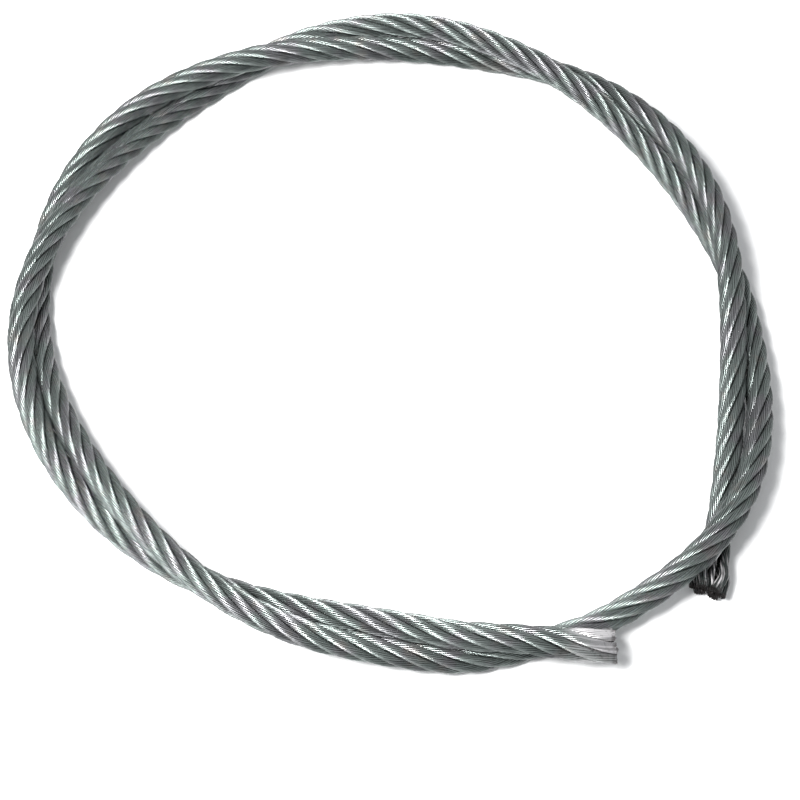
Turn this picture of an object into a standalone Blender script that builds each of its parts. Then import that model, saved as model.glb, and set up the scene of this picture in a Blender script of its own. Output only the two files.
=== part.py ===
"""Coil of wire rope: one cut length, bent into a ring of almost two turns that twist round each other.

Metres, +Z up. The ring lies on the ground plane, with the middle of its box over the origin.

The rope is six strands laid right-handed round a core strand. Each strand is one solid. Its wires
are finer than this model, so a strand is a six-sided bar of the strand's true outer diameter.

The route starts at end A and runs clockwise, seen from above. Progress is the angle travelled round
the ring, counted from the side nearest to -Y.
"""
import math

import bmesh
import bpy
import numpy as np

# The rope
ROPE_DIAMETER = 0.00615
LAY_LENGTH = 0.0400
STRAND_COUNT = 6
CLEARANCE = 0.0003

# The ring. Each crossing is where one run lies straight on the other: its azimuth in degrees, and the
# ring's radius there as a share of RING_RADIUS. From one crossing to the next the pair turns half over.
RING_RADIUS = 0.080
CROSSINGS = (
    (36.5, 0.950),
    (97.0, 1.023),
    (148.0, 1.026),
    (198.0, 1.034),
    (254.5, 1.015),
    (307.5, 0.995),
    (343.0, 0.988),
)

# The two cut ends, at their progress in degrees. Each springs outwards, straighter than the ring, over a
# reach that is also in degrees.
END_A = -30.5
END_A_SPRING = 0.0115
END_A_REACH = 41.0
END_B = 674.5
END_B_SPRING = 0.0138
END_B_REACH = 52.0

# Between the two ends the rope lies single, and bows outwards over its reach either way, in degrees.
BOW = 0.0118
BOW_MIDDLE = 318.0
BOW_REACH = 49.5

# Where a spring or the bow brings one run into the other, the upper run is lifted clear over a reach, in
# degrees.
LIFT_REACH = 16.0

# The lay opens towards a cut end: the strands straighten, and part a little at A and into two bundles at B.
LOOSE_LENGTH = 0.0125
LOOSE_LAY = 0.15
END_A_FLARE = 0.0003
END_B_SPLAY = 0.00085

# How finely the route is followed: its step is in degrees
ROUTE_STEP = 0.5
SECTIONS_PER_LAY = 8
CORE_SECTIONS_PER_LAY = 4
STRAND_SIDES = 6

# What follows from these sizes
PAIR_OFFSET = (ROPE_DIAMETER + CLEARANCE) / 2


def strand_sizes():
    """Strand diameter, lay radius and core diameter, so that the tilted strands fit round the core.

    Across the rope a tilted strand is wider than its diameter, and the core clears the strands where
    their straight stretches between two sections come nearest to it.
    """
    lay_radius = ROPE_DIAMETER / 3
    for _ in range(20):
        tilt = math.atan(2 * math.pi * lay_radius / LAY_LENGTH)
        pitch_share = 2 * math.sin(math.pi / STRAND_COUNT)
        strand = (pitch_share * ROPE_DIAMETER / 2 - CLEARANCE) / (1 / math.cos(tilt) + pitch_share / 2)
        lay_radius = (ROPE_DIAMETER - strand) / 2
    chord_radius = lay_radius * math.cos(math.pi / SECTIONS_PER_LAY)
    return strand, lay_radius, 2 * chord_radius - strand - 2 * CLEARANCE


STRAND_DIAMETER, LAY_RADIUS, CORE_DIAMETER = strand_sizes()


def smooth(at, knots, values):
    """A cubic curve through the knots, whose slope at each knot follows its neighbours."""
    slopes = np.gradient(values, knots)
    i = np.clip(np.searchsorted(knots, at) - 1, 0, len(knots) - 2)
    width = knots[i + 1] - knots[i]
    t = (at - knots[i]) / width
    start = (1 + 2 * t) * (1 - t) ** 2 * values[i] + t * (1 - t) ** 2 * width * slopes[i]
    return start + t**2 * (3 - 2 * t) * values[i + 1] + t**2 * (t - 1) * width * slopes[i + 1]


def ring_and_twist(progress):
    """The pair's radius, and the angle from outwards towards up at which the rope lies in it."""
    azimuths = np.array([azimuth for azimuth, _ in CROSSINGS])
    radii = np.array([RING_RADIUS * share for _, share in CROSSINGS])
    turns = range(-1, 3)
    knots = np.concatenate([azimuths + 360 * turn for turn in turns])
    first = -len(CROSSINGS)
    twists = 270 + 180 * np.arange(first, first + len(knots))
    return smooth(progress, knots, np.tile(radii, len(turns))), np.radians(smooth(progress, knots, twists))


def towards(distance, reach):
    """1 at no distance, falling to 0 at the reach as a straightening bar does."""
    return np.clip(1 - distance / reach, 0, 1) ** 2


def lift_clear(progress, points):
    """Raises a run where it would lie in the run below it, spread smoothly along the rope."""
    contact = ROPE_DIAMETER + CLEARANCE / 2
    apart = np.linalg.norm(points[:, None, :2] - points[None, :, :2], axis=2)
    above = points[:, None, 2] - points[None, :, 2]
    other = np.abs(progress[:, None] - progress[None, :]) > 180
    rise = np.sqrt(np.clip(contact**2 - apart**2, 0, None)) - above
    needed = np.where(other & (above > 0) & (apart < contact), rise, 0).max(axis=1)
    reach = int(LIFT_REACH / ROUTE_STEP)
    spread = [needed[max(0, i - reach) : i + reach + 1].max() for i in range(len(needed))]
    window = np.hanning(2 * reach + 1)
    return np.convolve(np.pad(spread, reach, mode="edge"), window / window.sum(), mode="valid")


def rope_route():
    """Points along the rope's axis from end A to end B."""
    travel = END_B - END_A
    progress = END_A + np.linspace(0, travel, int(travel / ROUTE_STEP) + 1)
    radius, twist = ring_and_twist(progress)
    push = END_A_SPRING * towards(progress - END_A, END_A_REACH)
    push += END_B_SPRING * towards(END_B - progress, END_B_REACH)
    bow = np.clip(np.abs(progress - BOW_MIDDLE) / BOW_REACH, 0, 1)
    push += BOW * (0.5 + 0.5 * np.cos(math.pi * bow))
    radius += push + PAIR_OFFSET * np.cos(twist)
    height = ROPE_DIAMETER / 2 + PAIR_OFFSET * (1 + np.sin(twist))
    angle = np.radians(progress)
    points = np.stack([-np.sin(angle) * radius, -np.cos(angle) * radius, height], axis=1)
    points[:, 2] += lift_clear(progress, points)
    return points


def at_stations(points, per_lay):
    """The route read at equal steps: distance along it, places, and the directions outwards and up."""
    steps = np.linalg.norm(np.diff(points, axis=0), axis=1)
    along = np.concatenate([[0], np.cumsum(steps)])
    count = round(along[-1] / LAY_LENGTH * per_lay) + 1
    stations = np.linspace(0, along[-1], count)
    places = np.stack([np.interp(stations, along, points[:, axis]) for axis in range(3)], axis=1)
    ahead = np.gradient(places, axis=0)
    ahead /= np.linalg.norm(ahead, axis=1)[:, None]
    out = np.cross((0, 0, 1), ahead)
    out /= np.linalg.norm(out, axis=1)[:, None]
    return stations, places, out, np.cross(ahead, out)


def lay_angle(stations):
    """How far the strands have turned round the core, counted back from end B."""
    length = stations[-1]
    loose = np.maximum(towards(stations, LOOSE_LENGTH), towards(length - stations, LOOSE_LENGTH))
    rate = 2 * math.pi / LAY_LENGTH * (1 - (1 - LOOSE_LAY) * loose)
    turned = np.concatenate([[0], np.cumsum((rate[1:] + rate[:-1]) / 2 * np.diff(stations))])
    return turned - turned[-1]


def strand_axis(number, stations, places, out, up):
    """The middle of one strand at each station, and the direction from the rope's axis to it."""
    angle = lay_angle(stations) + 2 * math.pi * number / STRAND_COUNT
    radial = np.cos(angle)[:, None] * out + np.sin(angle)[:, None] * up
    lay_radius = LAY_RADIUS + END_A_FLARE * towards(stations, LOOSE_LENGTH)
    side = math.copysign(1, math.cos(angle[-1]))
    splay = side * END_B_SPLAY * towards(stations[-1] - stations, LOOSE_LENGTH)
    return places + lay_radius[:, None] * radial + splay[:, None] * out, radial


def bar_sections(middles, radial, diameter):
    """Six-sided sections square to the bar, with one corner on its outer side."""
    ahead = np.gradient(middles, axis=0)
    ahead /= np.linalg.norm(ahead, axis=1)[:, None]
    outer = radial - np.sum(radial * ahead, axis=1)[:, None] * ahead
    outer /= np.linalg.norm(outer, axis=1)[:, None]
    aside = np.cross(ahead, outer)
    corners = 2 * math.pi * np.arange(STRAND_SIDES) / STRAND_SIDES
    ring = np.cos(corners)[None, :, None] * outer[:, None] + np.sin(corners)[None, :, None] * aside[:, None]
    return middles[:, None] + diameter / 2 * ring


def all_sections():
    """The sections of every piece, by its name."""
    route = rope_route()
    stations, places, out, up = at_stations(route, SECTIONS_PER_LAY)
    pieces = {}
    for number in range(STRAND_COUNT):
        middles, radial = strand_axis(number, stations, places, out, up)
        pieces[f"strand_{number + 1}"] = bar_sections(middles, radial, STRAND_DIAMETER)
    _, places, out, _ = at_stations(route, CORE_SECTIONS_PER_LAY)
    pieces["core_strand"] = bar_sections(places, out, CORE_DIAMETER)
    return pieces


def galvanised_steel(name):
    material = bpy.data.materials.new(name)
    material.use_nodes = True
    shader = material.node_tree.nodes["Principled BSDF"]
    shader.inputs["Base Color"].default_value = (0.34, 0.37, 0.37, 1)
    shader.inputs["Metallic"].default_value = 1.0
    shader.inputs["Roughness"].default_value = 0.38
    material.diffuse_color = (0.34, 0.37, 0.37, 1)
    return material


def make_bar(name, sections):
    """One closed bar through its sections, with flat ends."""
    bm = bmesh.new()
    rings = [[bm.verts.new(corner) for corner in section] for section in sections]
    for near, far in zip(rings, rings[1:]):
        for i in range(STRAND_SIDES):
            j = (i + 1) % STRAND_SIDES
            bm.faces.new((near[i], near[j], far[j], far[i]))
    bm.faces.new(rings[0][::-1])
    bm.faces.new(rings[-1])
    bmesh.ops.recalc_face_normals(bm, faces=bm.faces)
    mesh = bpy.data.meshes.new(name)
    bm.to_mesh(mesh)
    bm.free()
    mesh.shade_smooth()
    mesh.set_sharp_from_angle(angle=math.radians(70))
    mesh.materials.append(galvanised_steel(name))
    bar = bpy.data.objects.new(name, mesh)
    bpy.context.scene.collection.objects.link(bar)
    return bar


def main():
    for thing in list(bpy.data.objects):
        bpy.data.objects.remove(thing, do_unlink=True)
    pieces = all_sections()
    corners = np.concatenate([sections.reshape(-1, 3) for sections in pieces.values()])
    low, high = corners.min(axis=0), corners.max(axis=0)
    origin = np.array([(low[0] + high[0]) / 2, (low[1] + high[1]) / 2, low[2]])
    for name, sections in pieces.items():
        make_bar(name, sections - origin)


main()
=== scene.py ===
"""Dresses the coil of wire rope: every wire of its seven strands in zinc-coated steel, on a pale floor.

The solids of the part are one bar for each strand. Here each strand gets its nineteen wires, along the
same route, which this script works out from the same sizes.
"""
import math

import bmesh
import bpy
import numpy as np
from bpy.props import FloatProperty, FloatVectorProperty, IntProperty, PointerProperty
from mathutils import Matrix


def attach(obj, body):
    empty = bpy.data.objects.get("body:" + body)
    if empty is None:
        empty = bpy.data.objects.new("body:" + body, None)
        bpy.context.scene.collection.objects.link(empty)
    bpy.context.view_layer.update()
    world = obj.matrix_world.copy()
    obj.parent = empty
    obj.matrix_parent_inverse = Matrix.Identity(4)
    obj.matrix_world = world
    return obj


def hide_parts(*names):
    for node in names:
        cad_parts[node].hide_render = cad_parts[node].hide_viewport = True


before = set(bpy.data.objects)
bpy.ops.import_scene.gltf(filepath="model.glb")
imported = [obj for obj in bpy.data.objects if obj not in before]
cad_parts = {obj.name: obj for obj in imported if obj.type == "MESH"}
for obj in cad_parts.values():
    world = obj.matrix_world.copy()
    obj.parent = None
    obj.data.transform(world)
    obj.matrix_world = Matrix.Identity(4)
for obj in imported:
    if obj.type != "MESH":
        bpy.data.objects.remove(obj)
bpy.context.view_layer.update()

bl_info = {
    "name": "Wire rope coil",
    "version": (1, 0, 0),
    "blender": (4, 5, 0),
    "location": "3D View > Sidebar > Wire rope",
    "description": "Makes the wires of a coiled length of wire rope, and the stage it lies on",
    "category": "Add Mesh",
}

# The ring. Each crossing is where one run lies straight on the other: its azimuth in degrees, and the
# ring's radius there as a share of the ring radius. From one crossing to the next the pair turns half
# over.
CROSSINGS = (
    (36.5, 0.950),
    (97.0, 1.023),
    (148.0, 1.026),
    (198.0, 1.034),
    (254.5, 1.015),
    (307.5, 0.995),
    (343.0, 0.988),
)
STRAND_COUNT = 6

# The two cut ends, at their progress in degrees. Each springs outwards over a reach in degrees.
END_A = -30.5
END_A_SPRING = 0.0115
END_A_REACH = 41.0
END_B = 674.5
END_B_SPRING = 0.0138
END_B_REACH = 52.0

# Between the two ends the rope lies single, and bows outwards over its reach either way, in degrees.
BOW = 0.0118
BOW_MIDDLE = 318.0
BOW_REACH = 49.5

# A little before end A both runs lie nearer to the ring's centre than in the solids, over a reach in
# degrees.
DIP = 0.0011
DIP_MIDDLE = -20.5
DIP_REACH = 11.5

# Where one run would lie in the other, the upper run is lifted clear over a reach, in degrees.
LIFT_REACH = 16.0

# How finely the route is worked out, in degrees, and the step at which declare_rope reads the rope's
# axis, in metres.
ROUTE_STEP = 0.5
CORD_STEP = 0.004

# Where the ring's centre lies from the middle of the coil's box.
RING_CENTRE = (-0.0005125, -0.0015294, 0.0)

# How far the two halves of the strands at end B stand apart, at shares of the loose length from the cut.
OPENING = ((0.0, 0.0), (0.12, 0.45), (0.28, 1.0), (0.6, 0.45), (1.0, 0.08), (1.3, 0.0))

# The inner wires of a strand are made only near the cuts. The radius of their ring, and the depth of the
# filler below the strand's surface, are in wire radii.
INNER_WIRES = 6
INNER_REACH = 0.010
INNER_RING = 2.05
FILLER_DEPTH = 1.75

# A wire strays as a sum of slow waves, each between these numbers of steps long.
WAVE_COUNT = 5
SHORTEST_WAVE = 9
LONGEST_WAVE = 40

# The cutter presses the top of end A flat, less so over a fade from where its jaw ends.
PRESS_FADE = 0.0025
PRESS_SHARE = 0.85

# Both ends get bright wires over a reach, which ends in a fade: rubbed zinc and painted highlight at end
# A, painted highlight at end B. Right at its cut end B gets none.
RUB_AND_HIGHLIGHT_REACH_A = 0.0115
RUB_AND_HIGHLIGHT_FADE_A = 0.0040
HIGHLIGHT_REACH_B = 0.0100
HIGHLIGHT_FADE_B = 0.0030
RIM_REACH_B = 0.0012
RIM_FADE_B = 0.0006

# Parts of the rope's section, from its axis: aside to the outside of the ring, and upwards. The brow near
# end A and the flank near end B get painted highlights.
BROW_SIDE = -0.0009
BROW_HEIGHT = 0.0009
FLANK_SIDES = (0.0001, 0.0021)
FLANK_HEIGHT = 0.0006

# How bright each is made: the pressed patch with rubbed zinc, the brow and the flank with painted
# highlight, and the pale and plain wires with rubbed zinc and painted highlight near end A, painted
# highlight near end B.
PRESSED_SHINE = 0.17
BROW_SHINE = 0.65
PALE_SHINE = 0.35
PLAIN_SHINE = 0.18
FLANK_SHINE = 1.0
PALE_WIRE = 0.72

# Where marks near the cuts begin and where they are full, from end A or from end B.
# Near end A the valleys are darkened with grime and painted shade.
GRIME_AND_SHADE_A = (0.0160, 0.0100)
SCORCH_A = (0.0016, 0.0006)
SHINY_TIPS_A = (0.0050, 0.0040)
BURNT_AFTER_A = (0.0100, 0.0200)
SOOT_B = (0.0100, 0.0060)
SCORCH_B = (0.0016, 0.0004)

# Where darkening begins and where it is full: painted shade and oily dirt in the valleys between strands
# as shares of the rope's diameter from its axis, and in the grooves between wires as shares of a wire's
# diameter below the strand's surface; painted shade on the flanks as shares of the rope's half width.
VALLEY = (0.42, 0.31)
GROOVE = (0.10, 0.60)
PAINTED_SHADE_FLANK = (0.55, 0.90)

# How fine each pattern on the wires is, in features for each metre. Streaks run along the wire.
VIOLET_PATCHES = 130.0
WARM_PATCHES = 210.0
DIRT_PATCHES = 380.0
SCUFFS = 1100.0
SPECKLES = 2600.0
STREAKS = (700.0, 9000.0, 9000.0)
STREAK_SHIFT = 7

SHARP_ANGLE = math.radians(70)
SENSOR_WIDTH = 36


class RopeSizes(bpy.types.PropertyGroup):
    """Sizes of the rope and of its wires."""

    rope_diameter: FloatProperty(
        name="Rope diameter",
        description="Across the whole rope",
        default=0.00615,
        min=0.001,
        unit="LENGTH",
        precision=5,
    )
    ring_radius: FloatProperty(
        name="Ring radius",
        description="From the ring's centre to the middle between its two runs",
        default=0.080,
        min=0.01,
        unit="LENGTH",
        precision=4,
    )
    run_gap: FloatProperty(
        name="Gap between runs",
        description="Between two runs where they touch. Below 0 their strands bed into each other",
        default=-0.0003,
        unit="LENGTH",
        precision=5,
    )
    lay_length: FloatProperty(
        name="Lay of the strands",
        description="Rope length in which a strand goes once round the core",
        default=0.0400,
        min=0.005,
        unit="LENGTH",
        precision=4,
    )
    strand_gap: FloatProperty(
        name="Gap between strands",
        description="Between two strands, and between a strand and the core",
        default=0.00002,
        min=0.0,
        unit="LENGTH",
        precision=5,
    )
    wire_lay: FloatProperty(
        name="Lay of the wires",
        description="Rope length in which a wire goes once round its strand, the other way",
        default=0.0120,
        min=0.002,
        unit="LENGTH",
        precision=4,
    )
    wire_share: FloatProperty(
        name="Wire share",
        description="Diameter of a wire as a share of its strand's",
        default=0.194,
        min=0.05,
        max=0.3,
    )
    outer_wires: IntProperty(
        name="Outer wires",
        description="Wires in the outer layer of a strand",
        default=12,
        min=6,
        max=16,
    )
    wire_step: FloatProperty(
        name="Step along a wire",
        description="Distance between two sections of a wire",
        default=0.0013,
        min=0.0005,
        unit="LENGTH",
        precision=5,
    )
    loose_length: FloatProperty(
        name="Loose length",
        description="How far the lay has opened from each cut end",
        default=0.0125,
        min=0.0,
        unit="LENGTH",
        precision=4,
    )
    loose_lay: FloatProperty(
        name="Loose lay",
        description="What is left of the lay's turning at a cut end",
        default=0.15,
        min=0.0,
        max=1.0,
    )
    end_a_flare: FloatProperty(
        name="Flare of end A",
        description="How far each strand stands out at the cut end on the top run",
        default=0.0003,
        unit="LENGTH",
        precision=5,
    )
    end_b_splay: FloatProperty(
        name="Splay of end B",
        description="How far each half of the strands stands off to its side, close to the lower cut",
        default=0.0011,
        unit="LENGTH",
        precision=5,
    )
    pinch_length: FloatProperty(
        name="Pinch length",
        description="How far from a cut the cutter has flattened the rope",
        default=0.0085,
        min=0.001,
        unit="LENGTH",
        precision=4,
    )
    pinch_a: FloatProperty(
        name="Pinch of end A",
        description="How much lower than round the rope is at the cut on the top run",
        default=0.12,
        min=0.0,
        max=0.6,
    )
    pinch_b: FloatProperty(
        name="Pinch of end B",
        description="How much lower than round the rope is at the cut below",
        default=0.10,
        min=0.0,
        max=0.6,
    )
    spread_a: FloatProperty(
        name="Spread of end A",
        description="How much wider than round the rope is at the cut on the top run",
        default=0.22,
        min=0.0,
        max=0.6,
    )
    spread_length: FloatProperty(
        name="Spread length",
        description="How far from its cut end A is spread",
        default=0.022,
        min=0.001,
        unit="LENGTH",
        precision=4,
    )
    spread_b: FloatProperty(
        name="Spread of end B",
        description="How much wider than round the rope is at the cut below",
        default=0.32,
        min=0.0,
        max=0.6,
    )
    press_depth: FloatProperty(
        name="Press of end A",
        description="How deep the wires on top of end A are pressed flat",
        default=0.00075,
        min=0.0,
        unit="LENGTH",
        precision=5,
    )
    lean_b: FloatProperty(
        name="Lean of end B",
        description="How far end B stands to the outside of the ring at its cut",
        default=0.0006,
        unit="LENGTH",
        precision=5,
    )
    wire_scatter: FloatProperty(
        name="Wire scatter",
        description="How far a wire strays from its even place in the strand",
        default=0.00002,
        min=0.0,
        unit="LENGTH",
        precision=5,
    )
    cut_scatter: FloatProperty(
        name="Cut scatter",
        description="How unevenly the wires are cut off",
        default=0.0005,
        min=0.0,
        unit="LENGTH",
        precision=5,
    )


class RopeColours(bpy.types.PropertyGroup):
    """Colours of the zinc coating and of what lies in its hollows, some of which also paint shade and
    highlights on it.
    """

    zinc_green: FloatVectorProperty(
        name="Zinc, greenish",
        description="The coating where it has weathered greenish grey",
        default=(0.142, 0.162, 0.155),
        subtype="COLOR",
        min=0.0,
        max=1.0,
    )
    zinc_violet: FloatVectorProperty(
        name="Zinc, violet",
        description="The coating where it has weathered purplish grey",
        default=(0.149, 0.149, 0.155),
        subtype="COLOR",
        min=0.0,
        max=1.0,
    )
    zinc_warm: FloatVectorProperty(
        name="Zinc, warm",
        description="The coating where it has weathered warm grey",
        default=(0.165, 0.155, 0.145),
        subtype="COLOR",
        min=0.0,
        max=1.0,
    )
    # Besides oily dirt and soot, this colour is painted as shade in the valleys, the grooves and on the
    # rope's flanks.
    grime_and_shade: FloatVectorProperty(
        name="Grime",
        description="Oily dirt in the hollows between wires and strands",
        default=(0.024, 0.029, 0.029),
        subtype="COLOR",
        min=0.0,
        max=1.0,
    )
    # Besides the pressed patch, this colour paints highlights on bright wires near both cuts, and the
    # bright tips on the cut faces of end A.
    rubbed_zinc_and_highlight: FloatVectorProperty(
        name="Rubbed zinc",
        description="The coating where the cutter has pressed it flat",
        default=(0.92, 0.89, 0.90),
        subtype="COLOR",
        min=0.0,
        max=1.0,
    )
    cut_scorch: FloatVectorProperty(
        name="Scorch",
        description="The wires next to the cut of end B",
        default=(0.034, 0.028, 0.028),
        subtype="COLOR",
        min=0.0,
        max=1.0,
    )
    cut_steel: FloatVectorProperty(
        name="Cut steel",
        description="The bare steel of the cut faces",
        default=(0.012, 0.010, 0.010),
        subtype="COLOR",
        min=0.0,
        max=1.0,
    )


class StageSettings(bpy.types.PropertyGroup):
    """The floor, the lamp and the camera."""

    floor_colour: FloatVectorProperty(
        name="Floor",
        description="Colour of the floor",
        default=(0.86, 0.86, 0.86),
        subtype="COLOR",
        min=0.0,
        max=1.0,
    )
    floor_size: FloatProperty(
        name="Floor size",
        description="Side of the square floor",
        default=6.0,
        min=0.5,
        unit="LENGTH",
    )
    lamp_place: FloatVectorProperty(
        name="Lamp place",
        description="Where the lamp hangs",
        default=(-0.16, -0.14, 0.38),
        subtype="TRANSLATION",
        unit="LENGTH",
    )
    lamp_power: FloatProperty(
        name="Lamp",
        description="Power of the soft lamp over the near left",
        default=5.1,
        min=0.0,
        unit="POWER",
    )
    lamp_size: FloatProperty(
        name="Lamp size",
        description="Side of the square that the lamp shines from",
        default=0.15,
        min=0.01,
        unit="LENGTH",
    )
    room: FloatProperty(
        name="Room",
        description="Brightness of the room all round",
        default=0.62,
        min=0.0,
    )
    room_colour: FloatVectorProperty(
        name="Room colour",
        description="Colour of the light from the room all round",
        default=(0.96, 0.98, 1.0),
        subtype="COLOR",
        min=0.0,
        max=1.0,
    )
    camera_place: FloatVectorProperty(
        name="Camera place",
        description="Where the camera stands",
        default=(0.00258, -0.22321, 0.35917),
        subtype="TRANSLATION",
        unit="LENGTH",
        precision=5,
    )
    lens: FloatProperty(
        name="Lens",
        description="Focal length of the camera, in millimetres",
        default=81.88,
        min=1.0,
    )
    camera_tilt: FloatProperty(
        name="Camera tilt",
        description="Angle of the camera from looking straight down",
        default=math.radians(29.56),
        subtype="ANGLE",
    )


def smooth(at, knots, values):
    """A cubic curve through the knots, whose slope at each knot follows its neighbours."""
    slopes = np.gradient(values, knots)
    i = np.clip(np.searchsorted(knots, at) - 1, 0, len(knots) - 2)
    width = knots[i + 1] - knots[i]
    t = (at - knots[i]) / width
    start = (1 + 2 * t) * (1 - t) ** 2 * values[i] + t * (1 - t) ** 2 * width * slopes[i]
    return start + t**2 * (3 - 2 * t) * values[i + 1] + t**2 * (t - 1) * width * slopes[i + 1]


def ring_and_twist(progress, ring_radius):
    """The pair's radius, and the angle from outwards towards up at which the rope lies in it."""
    azimuths = np.array([azimuth for azimuth, _ in CROSSINGS])
    radii = np.array([ring_radius * share for _, share in CROSSINGS])
    turns = range(-1, 3)
    knots = np.concatenate([azimuths + 360 * turn for turn in turns])
    first = -len(CROSSINGS)
    twists = 270 + 180 * np.arange(first, first + len(knots))
    radius = smooth(progress, knots, np.tile(radii, len(turns)))
    return radius, np.radians(smooth(progress, knots, twists))


def towards(distance, reach):
    """1 at no distance, falling to 0 at the reach as a straightening bar does."""
    return np.clip(1 - distance / reach, 0, 1) ** 2


def within(distance, reach, fade):
    """1 well within the reach, falling evenly to 0 at it over the fade."""
    return np.clip((reach - distance) / fade, 0, 1)


def hump(distance, reach):
    """1 at no distance, falling to 0 at the reach on either side as half a wave does."""
    return 0.5 + 0.5 * np.cos(math.pi * np.clip(np.abs(distance) / reach, 0, 1))


def opened(distance, reach):
    """How far two halves of the strands stand apart: not at the cut, most at a quarter of the reach."""
    knots, shares = np.array(OPENING).T
    return smooth(np.minimum(distance / reach, knots[-1]), knots, shares)


def unit(vectors):
    """The vectors made one long."""
    return vectors / np.linalg.norm(vectors, axis=-1)[:, None]


def lift_clear(progress, points, contact):
    """Raises a run where it would lie in the run below it, spread smoothly along the rope."""
    apart = np.linalg.norm(points[:, None, :2] - points[None, :, :2], axis=2)
    above = points[:, None, 2] - points[None, :, 2]
    other = np.abs(progress[:, None] - progress[None, :]) > 180
    rise = np.sqrt(np.clip(contact**2 - apart**2, 0, None)) - above
    needed = np.where(other & (above > 0) & (apart < contact), rise, 0).max(axis=1)
    reach = int(LIFT_REACH / ROUTE_STEP)
    spread = [needed[max(0, i - reach) : i + reach + 1].max() for i in range(len(needed))]
    window = np.hanning(2 * reach + 1)
    return np.convolve(np.pad(spread, reach, mode="edge"), window / window.sum(), mode="valid")


def rope_route(sizes):
    """Points along the rope's axis from end A to end B."""
    travel = END_B - END_A
    progress = END_A + np.linspace(0, travel, int(travel / ROUTE_STEP) + 1)
    radius, twist = ring_and_twist(progress, sizes.ring_radius)
    push = END_A_SPRING * towards(progress - END_A, END_A_REACH)
    push += END_B_SPRING * towards(END_B - progress, END_B_REACH)
    push += BOW * hump(progress - BOW_MIDDLE, BOW_REACH)
    from_dip = (progress - DIP_MIDDLE + 180) % 360 - 180
    push -= DIP * hump(from_dip, DIP_REACH)
    pair_offset = (sizes.rope_diameter + sizes.run_gap) / 2
    radius += push + pair_offset * np.cos(twist)
    height = sizes.rope_diameter / 2 + pair_offset * (1 + np.sin(twist))
    angle = np.radians(progress)
    points = np.stack([-np.sin(angle) * radius, -np.cos(angle) * radius, height], axis=1)
    points[:, 2] += lift_clear(progress, points, sizes.rope_diameter + sizes.run_gap / 2)
    return points + RING_CENTRE


class RopeAxis:
    """The rope's axis read at equal steps: distance along it, places, and directions outwards and up."""

    def __init__(self, sizes, step):
        points = rope_route(sizes)
        steps = np.linalg.norm(np.diff(points, axis=0), axis=1)
        along = np.concatenate([[0], np.cumsum(steps)])
        self.length = along[-1]
        self.stations = np.linspace(0, self.length, round(self.length / step) + 1)
        columns = [np.interp(self.stations, along, points[:, axis]) for axis in range(3)]
        self.places = np.stack(columns, axis=1)
        self.ahead = unit(np.gradient(self.places, axis=0))
        self.out = unit(np.cross((0, 0, 1), self.ahead))
        self.up = np.cross(self.ahead, self.out)

    def turned(self, sizes, lay):
        """The angle turned along the rope by what has this lay, counted back from end B."""
        open_a = towards(self.stations, sizes.loose_length)
        open_b = towards(self.length - self.stations, sizes.loose_length)
        rate = 2 * math.pi / lay * (1 - (1 - sizes.loose_lay) * np.maximum(open_a, open_b))
        angle = np.concatenate([[0], np.cumsum((rate[1:] + rate[:-1]) / 2 * np.diff(self.stations))])
        return angle - angle[-1]


def strand_sizes(sizes):
    """Strand diameter, lay radius and core diameter, so that the tilted strands fit round the core."""
    lay_radius = sizes.rope_diameter / 3
    for _ in range(20):
        tilt = math.atan(2 * math.pi * lay_radius / sizes.lay_length)
        pitch_share = 2 * math.sin(math.pi / STRAND_COUNT)
        room = pitch_share * sizes.rope_diameter / 2 - sizes.strand_gap
        strand = room / (1 / math.cos(tilt) + pitch_share / 2)
        lay_radius = (sizes.rope_diameter - strand) / 2
    return strand, lay_radius, 2 * lay_radius - strand - 2 * sizes.strand_gap


def strand_middle(number, axis, sizes):
    """The middle of one strand at each station, and the direction from the rope's axis to it."""
    _, lay_radius, _ = strand_sizes(sizes)
    angle = axis.turned(sizes, sizes.lay_length) + 2 * math.pi * number / STRAND_COUNT
    radial = np.cos(angle)[:, None] * axis.out + np.sin(angle)[:, None] * axis.up
    flare = sizes.end_a_flare * towards(axis.stations, sizes.loose_length)
    side = math.copysign(1, math.cos(angle[-1]))
    splay = side * sizes.end_b_splay * opened(axis.length - axis.stations, sizes.loose_length)
    middle = axis.places + (lay_radius + flare)[:, None] * radial + splay[:, None] * axis.out
    return middle, radial


def wander(count, chance):
    """A slow random wave along a wire, between about -1 and 1."""
    wave_lengths = chance.uniform(SHORTEST_WAVE, LONGEST_WAVE, WAVE_COUNT)
    waves = np.arange(count)[:, None] / wave_lengths + chance.uniform(0, 1, WAVE_COUNT)
    return np.sin(2 * math.pi * waves).sum(axis=1) / (WAVE_COUNT / 2)


class Wire:
    """One wire, or the filler behind the wires: its middle line, its radius and its place in the rope."""

    def __init__(self, points, radius, axis, part, strand_places, tone, number):
        self.points = points
        self.radius = radius
        self.stations = axis.stations[part]
        self.axis_places = axis.places[part]
        self.out = axis.out[part]
        self.up = axis.up[part]
        self.strand_places = strand_places[part]
        self.tone = tone
        self.number = number


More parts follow.
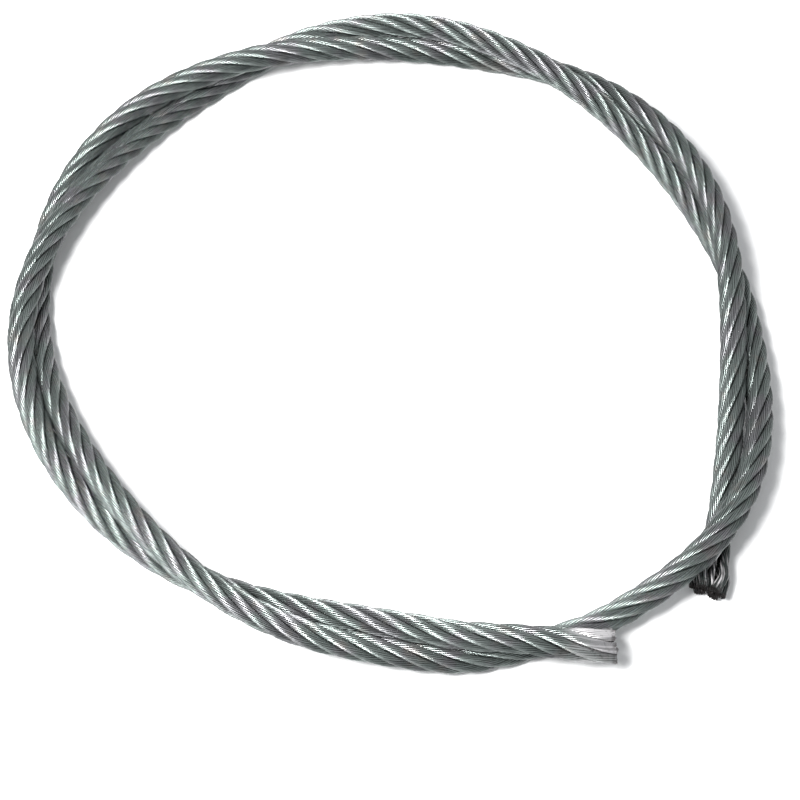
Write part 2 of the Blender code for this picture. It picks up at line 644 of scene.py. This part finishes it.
def wires_of_strand(middle, radial, diameter, axis, sizes, chance):
    """The wires of one strand: those outside, seven inside near the cuts, and a filler between."""
    wire_radius = diameter * sizes.wire_share / 2
    ahead = unit(np.gradient(middle, axis=0))
    outer = unit(radial - np.sum(radial * ahead, axis=1)[:, None] * ahead)
    aside = np.cross(ahead, outer)
    turned = axis.turned(sizes, sizes.wire_lay)
    count = len(middle)
    wires = []

    def lay_wire(angle, distance, start, stop, number):
        """Lays one wire between two stations, and cuts it a little short where it reaches a cut."""
        line = middle + distance * (np.cos(angle)[:, None] * outer + np.sin(angle)[:, None] * aside)
        line = line[start:stop].copy()
        if start == 0:
            short = chance.uniform(0, sizes.cut_scatter)
            line[0] += (line[1] - line[0]) * short / sizes.wire_step
        if stop == count:
            short = chance.uniform(0, sizes.cut_scatter / 4)
            line[-1] += (line[-2] - line[-1]) * short / sizes.wire_step
        part = slice(start, stop)
        wires.append(Wire(line, wire_radius, axis, part, middle, chance.uniform(), number))

    outer_distance = diameter / 2 - wire_radius
    for number in range(sizes.outer_wires):
        angle = 2 * math.pi * number / sizes.outer_wires - turned
        angle = angle + sizes.wire_scatter / outer_distance * wander(count, chance)
        distance = outer_distance + sizes.wire_scatter / 2 * wander(count, chance)
        lay_wire(angle, distance[:, None], 0, count, number)
    inner_count = round(INNER_REACH / sizes.wire_step)
    for start, stop in ((0, inner_count), (count - inner_count, count)):
        lay_wire(turned, 0, start, stop, 0)
        for number in range(INNER_WIRES):
            angle = 2 * math.pi * (number + 0.5) / INNER_WIRES - turned
            lay_wire(angle, INNER_RING * wire_radius, start, stop, number)
    filled = slice(inner_count // 2, count - inner_count // 2)
    filler_radius = diameter / 2 - FILLER_DEPTH * wire_radius
    wires.append(Wire(middle[filled], filler_radius, axis, filled, middle, 0.5, 0))
    return wires


def make_tubes(name, wires, length, sizes):
    """One mesh of round bars along the wires, flattened and closed at the cut ends."""
    bpy.ops.object.select_all(action="DESELECT")
    curve = bpy.data.curves.new(name, "CURVE")
    curve.dimensions = "3D"
    curve.bevel_depth = 1.0
    curve.bevel_resolution = 1
    for wire in wires:
        spline = curve.splines.new("POLY")
        spline.points.add(len(wire.points) - 1)
        spline.points.foreach_set("co", np.c_[wire.points, np.ones(len(wire.points))].ravel())
        spline.points.foreach_set("radius", np.full(len(wire.points), wire.radius))
    piece = bpy.data.objects.new(name, curve)
    bpy.context.scene.collection.objects.link(piece)
    piece.select_set(True)
    bpy.context.view_layer.objects.active = piece
    bpy.ops.object.convert(target="MESH")
    piece = bpy.context.object
    note_places(piece.data, wires, length, sizes)
    close_cuts(piece.data)
    piece.data.set_sharp_from_angle(angle=SHARP_ANGLE)
    return piece


def press_ends(ring, wire, length, sizes):
    """The corners of a tube after the cutter has flattened both ends, and each one's rubbed zinc and
    painted highlight.
    """
    from_a = wire.stations[:, None]
    from_b = length - from_a
    near_a = towards(from_a, sizes.pinch_length)
    near_b = towards(from_b, sizes.pinch_length)
    out = wire.out[:, None]
    up = wire.up[:, None]
    offset = ring - wire.axis_places[:, None]
    aside = np.sum(offset * out, axis=2)
    upward = np.sum(offset * up, axis=2)
    ahead = offset - aside[..., None] * out - upward[..., None] * up
    flank = (aside > FLANK_SIDES[0]) & (aside < FLANK_SIDES[1]) & (upward > FLANK_HEIGHT)
    brow = (aside < BROW_SIDE) & (upward > BROW_HEIGHT)

    wide_a = np.clip(1 - from_a / sizes.spread_length, 0, 1)
    aside = aside * (1 + sizes.spread_a * wide_a + sizes.spread_b * near_b) + sizes.lean_b * near_b
    upward = upward * (1 - sizes.pinch_a * near_a - sizes.pinch_b * near_b)
    depth = sizes.press_depth * within(from_a, sizes.pinch_length, PRESS_FADE)
    pressed = np.clip(upward - (sizes.rope_diameter / 2 - depth), 0, None) * (near_a > 0)
    upward = upward - PRESS_SHARE * pressed
    places = wire.axis_places[:, None] + ahead + aside[..., None] * out + upward[..., None] * up

    rubbed_and_highlight = PRESSED_SHINE * np.clip(pressed / (0.2 * sizes.press_depth), 0, 1)
    # Painted highlights: the brow and the pale wires near end A, and the flank and some wires near end B.
    glint = np.where(brow, BROW_SHINE, PALE_SHINE if wire.tone > PALE_WIRE else PLAIN_SHINE)
    rubbed_and_highlight = np.maximum(rubbed_and_highlight, within(from_a, RUB_AND_HIGHLIGHT_REACH_A, RUB_AND_HIGHLIGHT_FADE_A) * glint)
    on_flank = FLANK_SHINE if wire.number % 2 else 0.0
    elsewhere = PALE_SHINE if wire.number % 3 == 0 else 0.0
    zone_b = within(from_b, HIGHLIGHT_REACH_B, HIGHLIGHT_FADE_B) * (1 - within(from_b, RIM_REACH_B, RIM_FADE_B))
    return places, np.maximum(rubbed_and_highlight, zone_b * np.where(flank, on_flank, elsewhere))


def note_places(mesh, wires, length, sizes):
    """Flattens the ends, and writes on each corner how it lies in its wire, its strand and the rope."""
    places = np.empty(len(mesh.vertices) * 3)
    mesh.vertices.foreach_get("co", places)
    sides = len(mesh.vertices) // sum(len(wire.points) for wire in wires)
    places = places.reshape(-1, sides, 3)
    turn = 2 * math.pi * np.arange(sides) / sides
    circle = np.stack([np.cos(turn), np.sin(turn)], axis=1)
    titles = ("rope_radius", "strand_radius", "rope_side", "along_rope", "wire_tone", "rubbed_and_highlight")
    notes = {title: [] for title in titles}
    drawn = []
    first = 0
    for wire in wires:
        count = len(wire.points)
        ring = places[first : first + count]
        first += count
        offset = ring - wire.axis_places[:, None]
        along = np.repeat(wire.stations[:, None], sides, axis=1)
        notes["rope_radius"].append(np.linalg.norm(offset, axis=2))
        notes["strand_radius"].append(np.linalg.norm(ring - wire.strand_places[:, None], axis=2))
        aside = np.sum(offset * wire.out[:, None], axis=2)
        notes["rope_side"].append(2 * np.abs(aside) / sizes.rope_diameter)
        notes["along_rope"].append(along)
        notes["wire_tone"].append(np.full((count, sides), wire.tone))
        around = np.broadcast_to(wire.radius * circle, (count, sides, 2))
        shifted = along[..., None] + STREAK_SHIFT * wire.tone
        drawn.append(np.concatenate([shifted, around], axis=2))
        ring[:], rubbed_and_highlight = press_ends(ring, wire, length, sizes)
        notes["rubbed_and_highlight"].append(rubbed_and_highlight)
    mesh.vertices.foreach_set("co", places.ravel())
    for title, values in notes.items():
        attribute = mesh.attributes.new(title, "FLOAT", "POINT")
        attribute.data.foreach_set("value", np.concatenate(values).ravel())
    attribute = mesh.attributes.new("drawn", "FLOAT_VECTOR", "POINT")
    attribute.data.foreach_set("vector", np.concatenate(drawn).ravel())


def close_cuts(mesh):
    """Closes the open ends of the tubes, and marks the new faces as cut."""
    bm = bmesh.new()
    bm.from_mesh(mesh)
    cut = bm.faces.layers.float.new("cut_face")
    rims = [edge for edge in bm.edges if edge.is_boundary]
    for face in bmesh.ops.holes_fill(bm, edges=rims, sides=0)["faces"]:
        face[cut] = 1.0
    bm.to_mesh(mesh)
    bm.free()


class Field:
    """A value that changes over a surface. Arithmetic on it adds Math nodes."""

    def __init__(self, surface, socket):
        self.surface = surface
        self.socket = socket

    def math(self, operation, *values):
        return self.surface.node("ShaderNodeMath", {"operation": operation}, dict(enumerate(values)))

    def __add__(self, other):
        return self.math("ADD", self, other)

    __radd__ = __add__

    def __sub__(self, other):
        return self.math("SUBTRACT", self, other)

    def __rsub__(self, other):
        return self.math("SUBTRACT", other, self)

    def __mul__(self, other):
        return self.math("MULTIPLY", self, other)

    __rmul__ = __mul__


class Surface:
    """A material under construction."""

    def __init__(self, name):
        self.material = bpy.data.materials.new(name)
        self.material.use_nodes = True
        self.tree = self.material.node_tree
        self.shader = self.tree.nodes["Principled BSDF"]

    def node(self, kind, settings=None, inputs=None, output=0):
        """Adds a node: its settings first, then what its sockets hold or take from other nodes."""
        node = self.tree.nodes.new(kind)
        for title, value in (settings or {}).items():
            setattr(node, title, value)
        for title, value in (inputs or {}).items():
            self.feed(node.inputs[title], value)
        return Field(self, node.outputs[output])

    def feed(self, socket, value):
        """Links a socket to a field, or sets it to a plain value."""
        if isinstance(value, Field):
            self.tree.links.new(value.socket, socket)
        else:
            socket.default_value = value

    def attribute(self, title, output="Fac"):
        return self.node("ShaderNodeAttribute", {"attribute_name": title}, output=output)

    def rise(self, value, low, high):
        """0 below low, 1 above high, and smooth between. It falls where low is the higher."""
        settings = {"interpolation_type": "SMOOTHSTEP"}
        ends = {"To Min": 0.0, "To Max": 1.0} if low < high else {"To Min": 1.0, "To Max": 0.0}
        reach = {"Value": value, "From Min": min(low, high), "From Max": max(low, high)}
        return self.node("ShaderNodeMapRange", settings, {**reach, **ends})

    def noise(self, place, scale, detail=2.0):
        return self.node("ShaderNodeTexNoise", {}, {"Vector": place, "Scale": scale, "Detail": detail})

    def mix(self, share, first, second, blend="MIX"):
        """Mixes two colours, which are the node's sockets 6 and 7, into its output 2."""
        settings = {"data_type": "RGBA", "blend_type": blend}
        first = first if isinstance(first, Field) else (*first, 1.0)
        second = second if isinstance(second, Field) else (*second, 1.0)
        return self.node("ShaderNodeMix", settings, {0: share, 6: first, 7: second}, output=2)

    def finish(self, **sockets):
        """Feeds the shader's sockets by their names, and hands over the material."""
        for title, value in sockets.items():
            self.feed(self.shader.inputs[title.replace("_", " ").title().replace("Ior", "IOR")], value)
        return self.material


def zinc_coated_wire(name, sizes, colours, strand_diameter, brightness):
    """Zinc-coated steel wire: weathered in patches, wire by wire, with oily dirt and painted shade in the
    hollows, painted shade on the flanks and painted highlights near the cuts.
    """
    surface = Surface(name)
    place = surface.node("ShaderNodeTexCoord", output="Object")
    from_a = surface.attribute("along_rope")
    from_b = float(RopeAxis(sizes, sizes.wire_step).length) - from_a
    tone = surface.attribute("wire_tone")

    violet = surface.rise(surface.noise(place, VIOLET_PATCHES, 3.0), 0.47, 0.62)
    warm = surface.rise(surface.noise(place, WARM_PATCHES, 3.0), 0.55, 0.70)
    colour = surface.mix(violet, colours.zinc_green, colours.zinc_violet)
    colour = surface.mix(warm * 0.6, colour, colours.zinc_warm)
    drawn = surface.attribute("drawn", "Vector")
    stretched = {"operation": "MULTIPLY"}
    streak_place = surface.node("ShaderNodeVectorMath", stretched, {0: drawn, 1: STREAKS})
    streaks = surface.noise(streak_place, 1.0, 3.0)
    speckle = surface.noise(place, SPECKLES, 2.0)
    shade = brightness * (0.87 + tone * 0.36 + streaks * 0.22 + speckle * 0.10)
    colour = surface.mix(1.0, colour, shade, "MULTIPLY")

    # Painted shade and oily dirt: the grime colour darkens the valleys between strands, most near end A,
    # and the grooves between wires.
    rope_radius = surface.attribute("rope_radius")
    in_valley = surface.rise(rope_radius, *(sizes.rope_diameter * share for share in VALLEY))
    wire = strand_diameter * sizes.wire_share
    strand_radius = surface.attribute("strand_radius")
    in_groove = surface.rise(strand_radius, *(strand_diameter / 2 - wire * share for share in GROOVE))
    dirt = surface.rise(surface.noise(place, DIRT_PATCHES, 3.0), 0.30, 0.62)
    grime_and_shade = in_valley * (dirt * 0.25 + surface.rise(from_a, *GRIME_AND_SHADE_A) * 0.9)
    grime_and_shade = 1.0 - (1.0 - grime_and_shade) * (1.0 - in_groove * (0.30 + dirt * 0.30))
    colour = surface.mix(grime_and_shade, colour, colours.grime_and_shade)
    # Painted shade: the grime colour darkens the rope's flanks, in patches.
    painted_shade = surface.rise(surface.attribute("rope_side"), *PAINTED_SHADE_FLANK) * (0.30 + dirt * 0.35)
    colour = surface.mix(painted_shade, colour, colours.grime_and_shade)

    soot = surface.rise(from_b, *SOOT_B) * 0.65
    colour = surface.mix(soot, colour, colours.grime_and_shade)
    scuffed = surface.noise(place, SCUFFS, 3.0)
    # Rubbed zinc where the cutter pressed end A, and painted highlights on bright wires near both cuts.
    rubbed_and_highlight = surface.attribute("rubbed_and_highlight") * surface.rise(scuffed, 0.20, 0.45)
    colour = surface.mix(rubbed_and_highlight, colour, colours.rubbed_zinc_and_highlight)
    scorch = surface.rise(from_b, *SCORCH_B) * 0.8 + surface.rise(from_a, *SCORCH_A) * 0.7
    scorch = scorch * surface.rise(scuffed, 0.38, 0.56)
    colour = surface.mix(scorch, colour, colours.cut_scorch)
    shiny_tip = surface.rise(from_a, *SHINY_TIPS_A) * (0.15 + surface.rise(tone, 0.60, 0.70) * 0.40)
    cut_colour = surface.mix(shiny_tip, colours.cut_steel, colours.rubbed_zinc_and_highlight)
    cut_face = surface.attribute("cut_face")
    colour = surface.mix(cut_face, colour, cut_colour)
    burnt_cut = cut_face * surface.rise(from_a, *BURNT_AFTER_A)

    rough = 0.15 + tone * 0.08 + speckle * 0.12 + grime_and_shade * 0.20 + painted_shade * 0.25
    rough = rough + scorch * 0.20 + rubbed_and_highlight * 0.15 + burnt_cut * 0.5
    relief = {"Strength": 0.35, "Distance": 0.00002, "Height": streaks * 0.6 + speckle * 0.4}
    bump = surface.node("ShaderNodeBump", {}, relief, output="Normal")
    return surface.finish(base_color=colour, metallic=0.85, roughness=rough, normal=bump)


def dress(piece, node, material):
    """Gives a piece its finish, and puts it in the place of its solid."""
    piece.data.materials.clear()
    piece.data.materials.append(material)
    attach(piece, "root")
    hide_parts(node)


class MESH_OT_rope_strands(bpy.types.Operator):
    """Makes the wires of the six outer strands"""

    bl_idname = "mesh.rope_strands"
    bl_label = "Outer strands"
    bl_options = {"REGISTER", "UNDO"}

    def execute(self, context):
        sizes = context.scene.rope_sizes
        axis = RopeAxis(sizes, sizes.wire_step)
        diameter, _, _ = strand_sizes(sizes)
        zinc = zinc_coated_wire("zinc_wire", sizes, context.scene.rope_colours, diameter, 1.0)
        for number in range(STRAND_COUNT):
            chance = np.random.default_rng(number + 1)
            middle, radial = strand_middle(number, axis, sizes)
            wires = wires_of_strand(middle, radial, diameter, axis, sizes, chance)
            piece = make_tubes(f"strand_{number + 1}_wires", wires, axis.length, sizes)
            dress(piece, f"strand_{number + 1}", zinc)
        return {"FINISHED"}


class MESH_OT_rope_core(bpy.types.Operator):
    """Makes the wires of the core strand"""

    bl_idname = "mesh.rope_core"
    bl_label = "Core strand"
    bl_options = {"REGISTER", "UNDO"}

    def execute(self, context):
        sizes = context.scene.rope_sizes
        axis = RopeAxis(sizes, 2 * sizes.wire_step)
        _, _, diameter = strand_sizes(sizes)
        # Painted shade: the core's wires are darker, for the hollow between the strands at the cuts.
        painted_shade = zinc_coated_wire("core_wire", sizes, context.scene.rope_colours, diameter, 0.4)
        chance = np.random.default_rng(STRAND_COUNT + 1)
        wires = wires_of_strand(axis.places, axis.out, diameter, axis, sizes, chance)
        piece = make_tubes("core_wires", wires, axis.length, sizes)
        dress(piece, "core_strand", painted_shade)
        return {"FINISHED"}


def declare_rope(sizes):
    """Works out the rope's axis at the cord step; nothing more is done with it."""
    axis = RopeAxis(sizes, CORD_STEP)


def floor_paint(colour):
    """A plain matt floor, very slightly uneven in tone."""
    surface = Surface("floor_paint")
    place = surface.node("ShaderNodeTexCoord", output="Object")
    cloud = surface.noise(place, 3.0, 2.0)
    tint = surface.mix(1.0, colour, 0.985 + cloud * 0.03, "MULTIPLY")
    return surface.finish(base_color=tint, roughness=0.8, specular_ior_level=0.2)


def soft_lamp(place, power, size):
    """A square soft lamp at a place, facing the middle of the coil."""
    bpy.ops.object.light_add(type="AREA", location=place)
    lamp = bpy.context.object
    lamp.name = "lamp"
    lamp.data.energy = power
    lamp.data.size = size
    lean = math.atan2(math.hypot(place[0], place[1]), place[2])
    lamp.rotation_euler = (lean, 0, math.atan2(place[0], -place[1]))


class SCENE_OT_rope_stage(bpy.types.Operator):
    """Makes the pale floor, the soft lamp and the camera"""

    bl_idname = "scene.rope_stage"
    bl_label = "Stage"
    bl_options = {"REGISTER", "UNDO"}

    def execute(self, context):
        settings = context.scene.rope_stage
        bpy.ops.object.select_all(action="DESELECT")
        bpy.ops.mesh.primitive_plane_add(size=settings.floor_size, location=(0, 0, 0))
        floor = context.object
        floor.name = "floor"
        floor.data.materials.append(floor_paint(settings.floor_colour))
        soft_lamp(settings.lamp_place, settings.lamp_power, settings.lamp_size)
        world = bpy.data.worlds.new("room")
        world.use_nodes = True
        background = world.node_tree.nodes["Background"]
        background.inputs["Color"].default_value = (*settings.room_colour, 1.0)
        background.inputs["Strength"].default_value = settings.room
        context.scene.world = world
        context.scene.view_settings.view_transform = "Standard"
        bpy.ops.object.camera_add(location=settings.camera_place, rotation=(settings.camera_tilt, 0, 0))
        camera = context.object
        camera.name = "camera"
        camera.data.lens = settings.lens
        camera.data.sensor_width = SENSOR_WIDTH
        camera.data.clip_start = 0.01
        context.scene.camera = camera
        return {"FINISHED"}


class VIEW3D_PT_wire_rope(bpy.types.Panel):
    """Sizes, colours and pieces of the wire rope"""

    bl_label = "Wire rope"
    bl_space_type = "VIEW_3D"
    bl_region_type = "UI"
    bl_category = "Wire rope"

    def draw(self, context):
        layout = self.layout
        for title in ("rope_sizes", "rope_colours", "rope_stage"):
            group = getattr(context.scene, title)
            box = layout.box()
            for name in group.__annotations__:
                box.prop(group, name)
        layout.operator(MESH_OT_rope_strands.bl_idname)
        layout.operator(MESH_OT_rope_core.bl_idname)
        layout.operator(SCENE_OT_rope_stage.bl_idname)


CLASSES = (
    RopeSizes,
    RopeColours,
    StageSettings,
    MESH_OT_rope_strands,
    MESH_OT_rope_core,
    SCENE_OT_rope_stage,
    VIEW3D_PT_wire_rope,
)


def register():
    for each in CLASSES:
        bpy.utils.register_class(each)
    bpy.types.Scene.rope_sizes = PointerProperty(type=RopeSizes)
    bpy.types.Scene.rope_colours = PointerProperty(type=RopeColours)
    bpy.types.Scene.rope_stage = PointerProperty(type=StageSettings)


def unregister():
    del bpy.types.Scene.rope_stage
    del bpy.types.Scene.rope_colours
    del bpy.types.Scene.rope_sizes
    for each in reversed(CLASSES):
        bpy.utils.unregister_class(each)


def main():
    register()
    bpy.ops.mesh.rope_strands()
    bpy.ops.mesh.rope_core()
    bpy.ops.scene.rope_stage()
    declare_rope(bpy.context.scene.rope_sizes)


if __name__ == "__main__":
    main()
